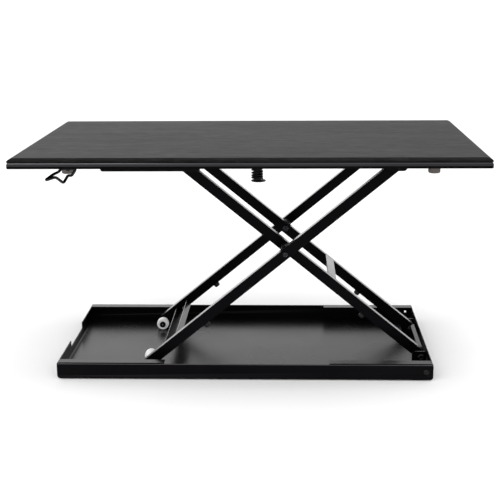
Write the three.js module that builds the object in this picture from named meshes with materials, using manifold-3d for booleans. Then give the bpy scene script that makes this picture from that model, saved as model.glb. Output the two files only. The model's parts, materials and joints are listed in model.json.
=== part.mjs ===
// Standing desk converter: a board carried over a shallow steel tray by two crossed leg frames.
// Millimetres, +Z up, +X to the right, the user stands on the -Y side.
// The origin is on the floor, under the middle of the board, with the riser fully raised.
import * as THREE from 'three';
import { mergeVertices } from 'three/addons/utils/BufferGeometryUtils.js';
import Module from 'manifold-3d';

const wasm = await Module();
wasm.setup();

// ---------------------------------------------------------------- driving dimensions
const GAP = 0.3; // air between pieces that bear on each other

const BOARD = { width: 813, depth: 510, thick: 15.7, bottom: 400, roundWide: 8, roundTall: 6.3 };
const RIM = { wide: 15, low: 397.8 }; // deeper band all round under the board's edge
const GROOVE = { low: 408, high: 409.4, deep: 1.6 };

const FOOT = { radius: 9, tall: 1.7 };
const TRAY = { centreX: -12.8, width: 681, depth: 375, bottom: 2, top: 29.7, sheet: 1.5, bend: 5 };
const LIP = { deep: 21.3, leftEnd: -158.3, rightStart: 141.2, setBack: 3.2, rise: 1.2 };
const WALL_NOTCH = { front: -57, rear: 61, low: 17.5 };

const LEG = { tall: 19, thick: 15, wall: 1.5 };
const OUTER_Y = 136; // middle of each outer leg, front and rear
const INNER_Y = 78; // middle of each inner leg
const RAISED_ANGLE = THREE.MathUtils.degToRad(39.36);
const LOWER_ARM = 327.5; // from the centre pivot down to an end axis
const UPPER_ARM = 256.23; // from the centre pivot up to an end axis
const LOW_PIVOT = { x: 314.75, z: 15.8 };
const WALL_HOLE = { x: 314.75, z: 16.3 }; // in the tray walls, beside the base pivots

const ROLLER = { radius: 12, near: 93, far: 115 };
const SHAFT_R = 4;
const BORE_R = SHAFT_R + GAP;

const RAIL = { inner: 86, outer: 150, top: 399.7, sheet: 1.4, left: -266, right: 276, deep: 375.9 };
const BUMPER = { x: 320, y: 168, radius: 11, bottom: 376 };
const GAS_Y = 35;
const SPRING = { x: 7.6, radius: 9.6, wire: 1.9, low: 334.3, high: 396.4, turns: 10.7 };
const SPRING_FOOT = { x: 10, radius: 14.2, bottom: 331.2, top: 334 };

// ---------------------------------------------------------------- derived positions
const cos = Math.cos(RAISED_ANGLE);
const sin = Math.sin(RAISED_ANGLE);
const CENTRE = { x: LOW_PIVOT.x - LOWER_ARM * cos, z: LOW_PIVOT.z + LOWER_ARM * sin };
const LOW_ROLLER = { x: CENTRE.x - LOWER_ARM * cos, z: LOW_PIVOT.z };
const DESK_PIVOT = { x: CENTRE.x + UPPER_ARM * cos, z: CENTRE.z + UPPER_ARM * sin };
const HIGH_ROLLER = { x: CENTRE.x - UPPER_ARM * cos, z: DESK_PIVOT.z };
const OUTER_FACE = OUTER_Y + LEG.thick / 2;
const OUTER_BACK = OUTER_Y - LEG.thick / 2;
const INNER_FACE = INNER_Y + LEG.thick / 2;
const INNER_BACK = INNER_Y - LEG.thick / 2;
const SIDES = [['front', -1], ['rear', 1]];

// ---------------------------------------------------------------- finishes
const FINISH = {
  laminate: { color: 0x2b2b2c, roughness: 0.45, metalness: 0.0 },
  steel: { color: 0x19191b, roughness: 0.38, metalness: 0.3 },
  zinc: { color: 0x8f9194, roughness: 0.35, metalness: 0.9 },
  blackZinc: { color: 0x242426, roughness: 0.4, metalness: 0.7 },
  nylon: { color: 0xe9e9e6, roughness: 0.5, metalness: 0.0 },
  greyRubber: { color: 0x8a8580, roughness: 0.8, metalness: 0.0 },
  blackRubber: { color: 0x1c1c1c, roughness: 0.85, metalness: 0.0 },
  blackPlastic: { color: 0x202022, roughness: 0.55, metalness: 0.0 },
};

const riser = new THREE.Group();
riser.name = 'standing_desk_converter';

function addPart(name, finish, geometry) {
  const mesh = new THREE.Mesh(geometry, new THREE.MeshStandardMaterial(FINISH[finish]));
  mesh.name = name;
  riser.add(mesh);
  return mesh;
}

// ---------------------------------------------------------------- solid helpers
function toSolid(geometry) {
  const bare = geometry.clone();
  bare.deleteAttribute('normal');
  bare.deleteAttribute('uv');
  const welded = mergeVertices(bare, 1e-4);
  return new wasm.Manifold(new wasm.Mesh({
    numProp: 3,
    vertProperties: new Float32Array(welded.attributes.position.array),
    triVerts: new Uint32Array(welded.index.array),
  }));
}

function toGeometry(solid) {
  const mesh = solid.getMesh();
  const geometry = new THREE.BufferGeometry();
  geometry.setAttribute('position', new THREE.BufferAttribute(new Float32Array(mesh.vertProperties), 3));
  geometry.setIndex(new THREE.BufferAttribute(new Uint32Array(mesh.triVerts), 1));
  geometry.computeVertexNormals();
  return geometry;
}

function fuse(...pieces) {
  return toGeometry(pieces.map(toSolid).reduce((sum, piece) => sum.add(piece)));
}

function cut(base, ...tools) {
  return toGeometry(tools.map(toSolid).reduce((left, tool) => left.subtract(tool), toSolid(base)));
}

function keepCommon(a, b) {
  return toGeometry(toSolid(a).intersect(toSolid(b)));
}

function block(x0, x1, y0, y1, z0, z1) {
  const box = new THREE.BoxGeometry(x1 - x0, Math.abs(y1 - y0), z1 - z0);
  return box.translate((x0 + x1) / 2, (y0 + y1) / 2, (z0 + z1) / 2);
}

// A round bar lying along Y between two depths.
function rodY(radius, y0, y1, at, segments = 18) {
  const rod = new THREE.CylinderGeometry(radius, radius, Math.abs(y1 - y0), segments);
  return rod.translate(at.x, (y0 + y1) / 2, at.z);
}

function rodX(radius, x0, x1, y, z, segments = 28) {
  const rod = new THREE.CylinderGeometry(radius, radius, x1 - x0, segments).rotateZ(-Math.PI / 2);
  return rod.translate((x0 + x1) / 2, y, z);
}

function rodZ(radius, z0, z1, x, y, segments = 28) {
  const rod = new THREE.CylinderGeometry(radius, radius, z1 - z0, segments).rotateX(Math.PI / 2);
  return rod.translate(x, y, (z0 + z1) / 2);
}

// A turned piece whose profile is a list of [radius, distance along the axis].
function turned(profile, segments = 18) {
  return new THREE.LatheGeometry(profile.map(([r, h]) => new THREE.Vector2(r, h)), segments);
}

// A turned piece on a Y axis; distances are |y|, mirrored for the front side.
function turnedY(profile, side, at, segments = 18) {
  const geometry = turned(profile, segments);
  if (side < 0) geometry.rotateZ(Math.PI);
  return geometry.translate(at.x, 0, at.z);
}

// A flat outline in X and Z, given as a shape, with its thickness along Y.
function plateXZ(shape, y0, y1, segments = 8) {
  const depth = Math.abs(y1 - y0);
  const plate = new THREE.ExtrudeGeometry(shape, { depth, bevelEnabled: false, curveSegments: segments });
  return plate.rotateX(Math.PI / 2).translate(0, Math.max(y0, y1), 0);
}

function roundedOutline(x0, x1, z0, z1, low, high = low) {
  const outline = new THREE.Shape();
  outline.moveTo(x0 + low, z0);
  outline.lineTo(x1 - low, z0);
  if (low > 0) outline.absarc(x1 - low, z0 + low, low, -Math.PI / 2, 0, false);
  outline.lineTo(x1, z1 - high);
  if (high > 0) outline.absarc(x1 - high, z1 - high, high, 0, Math.PI / 2, false);
  outline.lineTo(x0 + high, z1);
  if (high > 0) outline.absarc(x0 + high, z1 - high, high, Math.PI / 2, Math.PI, false);
  outline.lineTo(x0, z0 + low);
  if (low > 0) outline.absarc(x0 + low, z0 + low, low, Math.PI, 1.5 * Math.PI, false);
  return outline;
}

// A path of straight runs with its corners rounded off.
function bentPath(points, bend) {
  const path = new THREE.CurvePath();
  const corners = points.map((p) => new THREE.Vector3(...p));
  let from = corners[0];
  for (let i = 1; i < corners.length - 1; i += 1) {
    const back = corners[i - 1].clone().sub(corners[i]);
    const ahead = corners[i + 1].clone().sub(corners[i]);
    const trim = Math.min(bend, back.length() * 0.45, ahead.length() * 0.45);
    const enter = corners[i].clone().addScaledVector(back.normalize(), trim);
    const leave = corners[i].clone().addScaledVector(ahead.normalize(), trim);
    path.add(new THREE.LineCurve3(from, enter));
    path.add(new THREE.QuadraticBezierCurve3(enter, corners[i], leave));
    from = leave;
  }
  path.add(new THREE.LineCurve3(from, corners[corners.length - 1]));
  return path;
}

function swept(path, radius, steps, sides) {
  const section = new THREE.Shape();
  for (let i = 0; i < sides; i += 1) {
    const turn = (2 * Math.PI * i) / sides;
    const place = i === 0 ? 'moveTo' : 'lineTo';
    section[place](radius * Math.cos(turn), radius * Math.sin(turn));
  }
  return new THREE.ExtrudeGeometry(section, { steps, extrudePath: path, bevelEnabled: false });
}

// Turns a piece drawn flat about the centre pivot into its place in a crossed frame.
// slope +1 rises to the right (outer frame), -1 falls to the right (inner frame).
function tilt(mesh, slope) {
  mesh.rotation.y = -slope * RAISED_ANGLE;
  mesh.position.set(CENTRE.x, 0, CENTRE.z);
  return mesh;
}

// ---------------------------------------------------------------- board
function boardGeometry() {
  const { width, depth, thick, bottom, roundWide, roundTall } = BOARD;
  const halfX = width / 2 - roundWide;
  const halfY = depth / 2 - roundWide;
  const inset = new THREE.Shape();
  inset.moveTo(-halfX, -halfY);
  inset.lineTo(halfX, -halfY);
  inset.lineTo(halfX, halfY);
  inset.lineTo(-halfX, halfY);
  const core = 40;
  const slab = new THREE.ExtrudeGeometry(inset, {
    depth: core, bevelEnabled: true, bevelSize: roundWide, bevelThickness: roundTall, bevelSegments: 6,
  });
  slab.translate(0, 0, bottom + thick - roundTall - core);
  const corner = 2;
  const outline = roundedOutline(-width / 2, width / 2, -depth / 2, depth / 2, corner);
  const blank = new THREE.ExtrudeGeometry(outline, {
    depth: bottom + thick - RIM.low, bevelEnabled: false, curveSegments: 4,
  });
  blank.translate(0, 0, RIM.low);
  const recessX = width / 2 - RIM.wide;
  const recessY = depth / 2 - RIM.wide;
  const recess = block(-recessX, recessX, -recessY, recessY, RIM.low - 1, bottom);
  const frame = [
    block(-width, width, -depth, -depth / 2 + GROOVE.deep, GROOVE.low, GROOVE.high),
    block(-width, width, depth / 2 - GROOVE.deep, depth, GROOVE.low, GROOVE.high),
    block(-width, -width / 2 + GROOVE.deep, -depth, depth, GROOVE.low, GROOVE.high),
    block(width / 2 - GROOVE.deep, width, -depth, depth, GROOVE.low, GROOVE.high),
  ];
  const pilotHoles = RAIL_SCREWS.map(([, x, y]) => rodZ(2.3, bottom - 1, bottom + 10, x, y, 16));
  return cut(keepCommon(slab, blank), recess, ...frame, ...pilotHoles);
}

const RAIL_SCREW_Y = 123;
const RAIL_SCREWS = [
  ['front_left', -150, -RAIL_SCREW_Y], ['front_right', 200, -RAIL_SCREW_Y],
  ['rear_left', -150, RAIL_SCREW_Y], ['rear_right', 200, RAIL_SCREW_Y],
];

addPart('desktop_board', 'laminate', boardGeometry());

// ---------------------------------------------------------------- base tray
function trayGeometry() {
  const { centreX, width, depth, bottom, top, sheet, bend } = TRAY;
  const left = centreX - width / 2;
  const right = centreX + width / 2;
  const front = -depth / 2;
  const rear = depth / 2;
  const shell = plateXZ(roundedOutline(left, right, bottom, top, bend, 0), front, rear);
  const inside = roundedOutline(left + sheet, right - sheet, bottom + sheet, top + 20, bend - sheet, 0);
  const pan = cut(
    shell,
    plateXZ(inside, front + sheet, rear - sheet),
    block(left - 5, left + 5, WALL_NOTCH.front, WALL_NOTCH.rear, WALL_NOTCH.low, top + 5),
    rodY(2.3, rear - 5, rear + 5, WALL_HOLE, 20),
    rodY(3.3, front - 5, front + 5, WALL_HOLE, 20),
  );
  // each lip folds in from its wall, and its upper layer is set back from the wall's face
  const lips = [];
  for (const [x0, x1] of [[left + 0.7, LIP.leftEnd], [LIP.rightStart, right - 0.7]]) {
    lips.push(block(x0, x1, front + 0.7, front + LIP.deep, top - sheet, top));
    lips.push(block(x0, x1, rear - LIP.deep, rear - 0.7, top - sheet, top));
    lips.push(block(x0, x1, front + LIP.setBack, front + LIP.deep, top - sheet, top + LIP.rise));
    lips.push(block(x0, x1, rear - LIP.deep, rear - LIP.setBack, top - sheet, top + LIP.rise));
  }
  return fuse(pan, ...lips);
}

addPart('base_tray', 'steel', trayGeometry());

for (const [depthName, side] of SIDES) {
  for (const [widthName, across] of [['left', -1], ['right', 1]]) {
    const foot = turned([
      [0, 0], [FOOT.radius - 1, 0], [FOOT.radius, 0.6], [FOOT.radius, FOOT.tall], [0, FOOT.tall],
    ]);
    foot.rotateX(Math.PI / 2).translate(TRAY.centreX + across * 300, side * 160, 0);
    addPart(`tray_foot_${depthName}_${widthName}`, 'blackRubber', foot);
  }
}

// U-shaped bracket on the tray floor: an ear beside the leg and an ear against the tray wall.
const EAR = { near: 101.5, far: 104, wallNear: 183.5, wallFar: 185.7, low: 3.8, left: 298, right: 325.5 };
for (const [name, side] of SIDES) {
  const { near, far, wallNear, wallFar, low, left, right } = EAR;
  const bracket = cut(
    fuse(
      plateXZ(roundedOutline(left, right, low, 27, 3, 6), side * near, side * far),
      plateXZ(roundedOutline(left, right, low, 24, 3, 5), side * wallNear, side * wallFar),
      block(left + 3, right - 3, side * near, side * wallFar, low, low + 2.2),
    ),
    rodY(BORE_R, side * (near - 5), side * (far + 5), LOW_PIVOT),
    rodY(3.3, side * (wallNear - 5), side * (wallFar + 5), WALL_HOLE, 20),
  );
  addPart(`pivot_bracket_${name}`, 'steel', bracket);
  const pivotBolt = turnedY([
    [0, INNER_BACK - 4.5], [7, INNER_BACK - 4.5], [7, INNER_BACK - GAP], [SHAFT_R, INNER_BACK - GAP],
    [SHAFT_R, INNER_FACE + GAP], [6.5, INNER_FACE + GAP], [6.5, near - GAP], [SHAFT_R, near - GAP],
    [SHAFT_R, far + GAP], [6.5, far + GAP], [6.5, far + 3.4], [5.2, far + 4.6], [0, far + 4.6],
  ], side, LOW_PIVOT);
  addPart(`base_pivot_bolt_${name}`, 'blackZinc', pivotBolt);
}

const wallRivet = turnedY([
  [0, 180.6], [4.8, 180.6], [4.8, EAR.wallNear - GAP], [3, EAR.wallNear - GAP], [3, 187.8],
  [5, 187.8], [4.4, 188.8], [2.6, 189.5], [0, 189.7],
], -1, WALL_HOLE, 20);
addPart('bracket_rivet_front', 'blackZinc', wallRivet);

// ---------------------------------------------------------------- crossed legs
// Each leg is drawn flat: U runs along it from the centre pivot, Z is its height.
function legGeometry(lowEnd, highEnd, y, holes) {
  const end = LEG.tall / 2;
  const outline = roundedOutline(lowEnd - end, highEnd + end, -end, end, end - 0.01);
  const tube = plateXZ(outline, y - LEG.thick / 2, y + LEG.thick / 2, 6);
  const hollow = block(
    lowEnd - 30, highEnd + 30, y - LEG.thick / 2 + LEG.wall, y + LEG.thick / 2 - LEG.wall,
    -end + LEG.wall, end - LEG.wall,
  );
  const bores = holes.map((u) => rodY(BORE_R, y - 20, y + 20, { x: u, z: 0 }));
  return cut(tube, hollow, ...bores);
}

const PAD = { along: 196, radius: 6, tall: 7.7 };
function padGeometry(u, y) {
  const top = -LEG.tall / 2 - GAP;
  const pad = turned([
    [0, 0], [PAD.radius, 0], [PAD.radius, -PAD.tall + 1.5], [PAD.radius - 1.5, -PAD.tall], [0, -PAD.tall],
  ].reverse(), 20);
  return pad.rotateX(Math.PI / 2).translate(u, y, top);
}

for (const [name, side] of SIDES) {
  // outer leg: roller at its lower left, desk pivot at its upper right
  const outerLeg = legGeometry(-LOWER_ARM, UPPER_ARM, side * OUTER_Y, [-LOWER_ARM, 0, UPPER_ARM]);
  tilt(addPart(`outer_leg_${name}`, 'steel', outerLeg), 1);
  tilt(addPart(`outer_leg_pad_${name}`, 'blackRubber', padGeometry(-PAD.along, side * OUTER_Y)), 1);

  // inner leg: roller at its upper left, base pivot at its lower right
  const innerLeg = legGeometry(-UPPER_ARM, LOWER_ARM, side * INNER_Y, [-UPPER_ARM, 0, LOWER_ARM]);
  tilt(addPart(`inner_leg_${name}`, 'steel', innerLeg), -1);
  tilt(addPart(`inner_leg_pad_${name}`, 'blackRubber', padGeometry(PAD.along, side * INNER_Y)), -1);

  const centreBolt = turnedY([
    [0, INNER_BACK - 4.5], [7, INNER_BACK - 4.5], [7, INNER_BACK - GAP], [SHAFT_R, INNER_BACK - GAP],
    [SHAFT_R, OUTER_FACE + GAP], [5.1, OUTER_FACE + GAP], [5.1, OUTER_FACE + 2.6], [4, OUTER_FACE + 3.8],
    [2.8, OUTER_FACE + 3.8], [2.8, OUTER_FACE + 2.4], [0, OUTER_FACE + 2.4],
  ], side, CENTRE);
  addPart(`centre_bolt_${name}`, 'blackZinc', centreBolt);
  const spacer = cut(
    rodY(8, side * (INNER_FACE + GAP), side * (OUTER_BACK - GAP), CENTRE),
    rodY(BORE_R, side * 60, side * 150, CENTRE),
  );
  addPart(`centre_spacer_${name}`, 'blackPlastic', spacer);

  // shoulder bolt that carries the lower roller on the inside of the outer leg
  const lowAxle = turnedY([
    [0, 88.5], [4.6, 88.5], [6, 89.6], [6, ROLLER.near - GAP], [SHAFT_R, ROLLER.near - GAP],
    [SHAFT_R, ROLLER.far + GAP], [6.5, ROLLER.far + GAP], [6.5, OUTER_BACK - GAP],
    [SHAFT_R, OUTER_BACK - GAP],
    [SHAFT_R, OUTER_FACE + GAP], [7, OUTER_FACE + GAP], [7, OUTER_FACE + 2.8], [5.6, OUTER_FACE + 4],
    [0, OUTER_FACE + 4],
  ], side, LOW_ROLLER);
  addPart(`lower_axle_${name}`, 'blackZinc', lowAxle);

  // shoulder bolt that carries the upper roller on the outside of the inner leg
  const highAxle = turnedY([
    [0, 56], [SHAFT_R, 56], [SHAFT_R, INNER_FACE + GAP], [6.5, INNER_FACE + GAP], [6.5, ROLLER.near - GAP],
    [SHAFT_R, ROLLER.near - GAP], [SHAFT_R, ROLLER.far + GAP], [6, ROLLER.far + GAP], [6, ROLLER.far + 3],
    [4.8, ROLLER.far + 4], [0, ROLLER.far + 4],
  ], side, HIGH_ROLLER);
  addPart(`upper_axle_${name}`, 'blackZinc', highAxle);

  for (const [level, at] of [['lower', LOW_ROLLER], ['upper', HIGH_ROLLER]]) {
    const { radius, near, far } = ROLLER;
    const wheel = turnedY([
      [BORE_R, near], [radius - 1.2, near], [radius, near + 1.4], [radius, near + 9],
      [radius - 1.3, near + 14.5], [radius - 3.8, far - 2.6], [radius - 5.5, far], [BORE_R, far],
      [BORE_R, near],
    ], side, { x: 0, z: 0 }, 32);
    const roller = addPart(`${level}_roller_${name}`, 'nylon', wheel);
    roller.position.set(at.x, 0, at.z);
  }

  // bolt from the desk rail into the outer leg and the cross bar behind it
  const deskBolt = turnedY([
    [0, 108], [SHAFT_R, 108], [SHAFT_R, OUTER_FACE + GAP], [6.5, OUTER_FACE + GAP], [6.5, 148.2],
    [SHAFT_R, 148.2], [SHAFT_R, RAIL.outer + GAP], [6.5, RAIL.outer + GAP], [6.5, RAIL.outer + 2.6],
    [5, RAIL.outer + 3.8], [0, RAIL.outer + 3.8],
  ], side, DESK_PIVOT);
  addPart(`desk_pivot_bolt_${name}`, 'blackZinc', deskBolt);

  // screw through the web of the lower channel
  const channelScrew = turned([
    [0, -12.2], [5, -12.2], [5, -8.3], [2.5, -8.3], [2.5, -5.7], [4.6, -5.7], [4.6, -4.2], [2.8, -2.8],
    [0, -2.8],
  ], 20).rotateX(Math.PI / 2);
  tilt(addPart(`channel_screw_${name}`, 'zinc', channelScrew.translate(-278, side * 119, 0)), 1);
}

// ---------------------------------------------------------------- cross members
const CHANNEL = { low: -291, high: -261, floor: -8, top: 4, sheet: 2, half: OUTER_BACK - GAP };
const channel = cut(
  block(CHANNEL.low, CHANNEL.high, -CHANNEL.half, CHANNEL.half, CHANNEL.floor, CHANNEL.top),
  block(
    CHANNEL.low + CHANNEL.sheet, CHANNEL.high - CHANNEL.sheet, -CHANNEL.half - 5, CHANNEL.half + 5,
    CHANNEL.floor + CHANNEL.sheet, CHANNEL.top + 5,
  ),
  rodZ(2.8, -20, 20, -278, -119, 20),
  rodZ(2.8, -20, 20, -278, 119, 20),
);
tilt(addPart('outer_lower_channel', 'steel', channel), 1);

const deskPivotBar = cut(
  rodY(9, -OUTER_BACK + GAP, OUTER_BACK - GAP, DESK_PIVOT, 32),
  rodY(BORE_R, 104, 140, DESK_PIVOT),
  rodY(BORE_R, -140, -104, DESK_PIVOT),
);
addPart('outer_upper_bar', 'steel', deskPivotBar);

const midBar = block(95.5, 116, -INNER_BACK + GAP, INNER_BACK - GAP, 6.5, 9.5);
tilt(addPart('inner_mid_bar', 'steel', midBar), -1);

// flat strip lying level over the base pivots, between the inner legs
const endBar = block(312.5, 320.8, -INNER_BACK + GAP, INNER_BACK - GAP, 23.2, 25);
addPart('inner_end_bar', 'steel', endBar);

const rollerBar = cut(
  rodY(6, -INNER_BACK + GAP, INNER_BACK - GAP, HIGH_ROLLER),
  rodY(BORE_R, 53, 80, HIGH_ROLLER),
  rodY(BORE_R, -80, -53, HIGH_ROLLER),
);
addPart('inner_upper_bar', 'steel', rollerBar);

// ---------------------------------------------------------------- desk rails
for (const [name, side] of SIDES) {
  const { inner, outer, top, sheet, left, right, deep } = RAIL;
  const face = [side * outer, side * (outer - 1.5)];
  const rail = cut(
    fuse(
      block(left, right, side * inner, side * outer, top - sheet, top),
      plateXZ(roundedOutline(left, -89, deep, top, 4, 0), ...face),
      block(-90, 244, ...face, top - 9, top),
      plateXZ(roundedOutline(243, right, deep, top, 7, 0), ...face),
    ),
    rodY(BORE_R, side * (outer - 8), side * (outer + 8), DESK_PIVOT),
    rodZ(2.3, top - 5, top + 5, -150, side * RAIL_SCREW_Y, 16),
    rodZ(2.3, top - 5, top + 5, 200, side * RAIL_SCREW_Y, 16),
  );
  addPart(`desk_rail_${name}`, 'steel', rail);
}

for (const [name, x, y] of RAIL_SCREWS) {
  const screw = turned([
    [0, 395.6], [3.4, 395.6], [4.5, 396.6], [4.5, 398], [2, 398], [2, 408], [0, 409],
  ], 16).rotateX(Math.PI / 2);
  addPart(`rail_screw_${name}`, 'blackZinc', screw.translate(x, y, 0));
}

for (const [depthName, side] of SIDES) {
  for (const [widthName, across] of [['left', -1], ['right', 1]]) {
    const { x, y, radius, bottom } = BUMPER;
    const bumper = turned([
      [0, bottom], [radius - 3, bottom + 0.3], [radius - 0.6, bottom + 1.6], [radius, bottom + 3],
      [radius, BOARD.bottom - GAP], [0, BOARD.bottom - GAP],
    ]).rotateX(Math.PI / 2);
    addPart(`desk_bumper_${depthName}_${widthName}`, 'greyRubber', bumper.translate(across * x, side * y, 0));
  }
}

// ---------------------------------------------------------------- assist spring
class Coil extends THREE.Curve {
  getPoint(t, target = new THREE.Vector3()) {
    const turn = 2 * Math.PI * SPRING.turns * t;
    const low = SPRING.low + SPRING.wire;
    const high = SPRING.high - SPRING.wire;
    return target.set(
      SPRING.x + SPRING.radius * Math.cos(turn),
      SPRING.radius * Math.sin(turn),
      low + (high - low) * t,
    );
  }
}

addPart('assist_spring', 'blackZinc', swept(new Coil(), SPRING.wire, 140, 6));
const seat = turned([
  [0, 393], [7.2, 393], [7.2, 396.7], [13, 396.7], [13, BOARD.bottom - GAP], [0, BOARD.bottom - GAP],
], 32).rotateX(Math.PI / 2);
addPart('spring_seat', 'steel', seat.translate(SPRING.x, 0, 0));
const footDisc = turned([
  [0, SPRING_FOOT.bottom], [SPRING_FOOT.radius - 1, SPRING_FOOT.bottom],
  [SPRING_FOOT.radius, SPRING_FOOT.bottom + 0.9], [SPRING_FOOT.radius, SPRING_FOOT.top - 0.6],
  [SPRING_FOOT.radius - 0.8, SPRING_FOOT.top], [0, SPRING_FOOT.top],
], 32).rotateX(Math.PI / 2).translate(SPRING_FOOT.x, 0, 0);
const footStem = turned([
  [0, SPRING_FOOT.top - 1], [7.4, SPRING_FOOT.top - 1], [7.4, 369], [5.5, 371.5], [0, 371.5],
], 32).rotateX(Math.PI / 2).translate(SPRING.x, 0, 0);
addPart('spring_foot', 'blackPlastic', fuse(footDisc, footStem));

// ---------------------------------------------------------------- locking gas spring
const GAS = { left: -85, right: 74, radius: 10, bore: 8, z: DESK_PIVOT.z };

// Lays a piece turned about Y down along X, at the height of the gas spring.
function alongX(geometry) {
  return geometry.rotateZ(-Math.PI / 2).translate(0, GAS_Y, GAS.z);
}

const barrel = turned([
  [0, GAS.right], [GAS.radius - 1, GAS.right], [GAS.radius, GAS.right - 1], [GAS.radius, GAS.left + 1],
  [GAS.radius - 1, GAS.left], [BORE_R, GAS.left], [BORE_R, GAS.left + 7], [GAS.bore, GAS.left + 7],
  [GAS.bore, GAS.right - 6], [0, GAS.right - 6],
].reverse(), 32);
addPart('gas_barrel', 'steel', alongX(barrel));

const eye = rodY(10, GAS_Y - 5, GAS_Y + 5, HIGH_ROLLER, 32);
const rodTurned = alongX(turned([
  [0, HIGH_ROLLER.x + 8], [SHAFT_R, HIGH_ROLLER.x + 8], [SHAFT_R, 58], [7.6, 58], [7.6, 65], [0, 65],
], 28));
const gasRod = cut(fuse(eye, rodTurned), rodY(6.3, GAS_Y - 20, GAS_Y + 20, HIGH_ROLLER));
addPart('gas_rod', 'zinc', gasRod);

const HEAD = { left: GAS.right + GAP, right: 96, low: 380.6, front: GAS_Y - 13, rear: GAS_Y + 13 };
const releaseHead = cut(
  block(HEAD.left, HEAD.right, HEAD.front, HEAD.rear, HEAD.low, BOARD.bottom - GAP),
  rodX(3.3, HEAD.left - 5, HEAD.right + 5, GAS_Y, GAS.z, 20),
);
addPart('release_head', 'blackPlastic', releaseHead);

const releasePin = alongX(turned([
  [0, HEAD.left + 3], [3, HEAD.left + 3], [3, HEAD.right + 3.2], [5, HEAD.right + 3.2],
  [5, HEAD.right + 6.2], [0, HEAD.right + 6.2],
], 20));
addPart('release_pin', 'zinc', releasePin);

// ---------------------------------------------------------------- release lever
const LEVER = { y: -195, z: 388.5, left: -320, right: -308, wire: 2.5, knuckle: 6.4 };
const LEVER_MID = (LEVER.left + LEVER.right) / 2;
const leverBracket = cut(
  fuse(
    block(
      LEVER_MID - LEVER.knuckle / 2, LEVER_MID + LEVER.knuckle / 2,
      LEVER.y - 4.5, LEVER.y + 4.5, LEVER.z - 4, BOARD.bottom - 1,
    ),
    block(LEVER.left, LEVER.right, LEVER.y - 6, LEVER.y + 15, BOARD.bottom - 3, BOARD.bottom - GAP),
  ),
  rodX(LEVER.wire + 0.5, LEVER.left - 5, LEVER.right + 5, LEVER.y, LEVER.z, 20),
);
addPart('lever_bracket', 'blackPlastic', leverBracket);

const leverWire = swept(bentPath([
  [LEVER_MID - 0.5, LEVER.y, LEVER.z],
  [-326, LEVER.y, LEVER.z],
  [-329.5, -199, 384],
  [-336, -216, 382.2],
  [-346, -232.5, 375.2],
  [-330.6, -222, 379],
  [-319.8, -210, 366.2],
  [-313.6, -200, 377.8],
  [-307.6, -197, 376.9],
  [-300, LEVER.y, LEVER.z],
  [LEVER_MID + 0.5, LEVER.y, LEVER.z],
], 4.5), LEVER.wire, 72, 8);
addPart('lever_handle', 'blackZinc', leverWire);

const cableRun = bentPath([
  [85, HEAD.rear + GAP, 395],
  [85, 62, 395],
  [-290, 62, 395],
  [-290, -176, 395],
  [-312, -184, 392],
  [-312, LEVER.y + 4.5 + GAP, 391.5],
], 16);
addPart('release_cable', 'blackRubber', swept(cableRun, 2, 56, 8));

export default riser;
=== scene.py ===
import json
import math

import bmesh
import bpy
from mathutils import Matrix, Vector


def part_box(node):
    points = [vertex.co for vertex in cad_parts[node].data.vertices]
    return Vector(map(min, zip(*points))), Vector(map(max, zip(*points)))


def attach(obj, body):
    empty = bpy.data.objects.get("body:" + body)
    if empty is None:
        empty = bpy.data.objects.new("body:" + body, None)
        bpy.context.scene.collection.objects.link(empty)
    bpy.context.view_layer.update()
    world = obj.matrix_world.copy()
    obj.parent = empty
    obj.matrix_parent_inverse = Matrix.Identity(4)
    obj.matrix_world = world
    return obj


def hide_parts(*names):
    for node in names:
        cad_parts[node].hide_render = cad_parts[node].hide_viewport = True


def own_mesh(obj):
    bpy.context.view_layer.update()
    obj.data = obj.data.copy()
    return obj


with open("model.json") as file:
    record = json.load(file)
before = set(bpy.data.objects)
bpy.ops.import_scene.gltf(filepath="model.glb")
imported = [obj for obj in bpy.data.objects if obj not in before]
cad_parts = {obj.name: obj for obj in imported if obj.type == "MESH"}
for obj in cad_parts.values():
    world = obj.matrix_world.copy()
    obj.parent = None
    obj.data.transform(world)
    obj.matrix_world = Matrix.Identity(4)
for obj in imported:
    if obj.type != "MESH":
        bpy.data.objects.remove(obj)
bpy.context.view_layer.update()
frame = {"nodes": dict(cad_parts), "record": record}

# Lengths in outlines are millimetres, times MM where they become positions, which are metres.
MM = 0.001
GAP = 0.3        # air that the CAD model leaves between touching pieces
SHANK = 4.0      # radius of every bolt
BORE = SHANK + GAP
SHARP = 38.0     # degrees: a fold sharper than this counts as an edge
RECORD = frame["record"]
BODY_OF = {n: body for body, nodes in RECORD["behaviour"]["bodies"].items() for n in nodes}
SIDES = {"front": -1, "rear": 1}
ENDS = ("left", "right")
X, Y, Z = Vector((1, 0, 0)), Vector((0, 1, 0)), Vector((0, 0, 1))


# ---------------------------------------------------------------- places taken from the frame
def box(node):
    low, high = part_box(node)
    return Vector(low), Vector(high)


def middle(node):
    low, high = box(node)
    return (low + high) / 2


def foot_point(node):
    """The middle of a node's underside."""
    at = middle(node)
    return Vector((at.x, at.y, box(node)[0].z))


def height(node):
    low, high = box(node)
    return (high.z - low.z) / MM


def axis_at(node):
    """Where a Y axis through the middle of a node passes, at y = 0."""
    at = middle(node)
    return Vector((at.x, 0, at.z))


def reach(node):
    """How far the inner and outer faces of a front node are from the middle plane, y = 0."""
    low, high = box(node)
    return -high.y / MM, -low.y / MM


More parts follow.
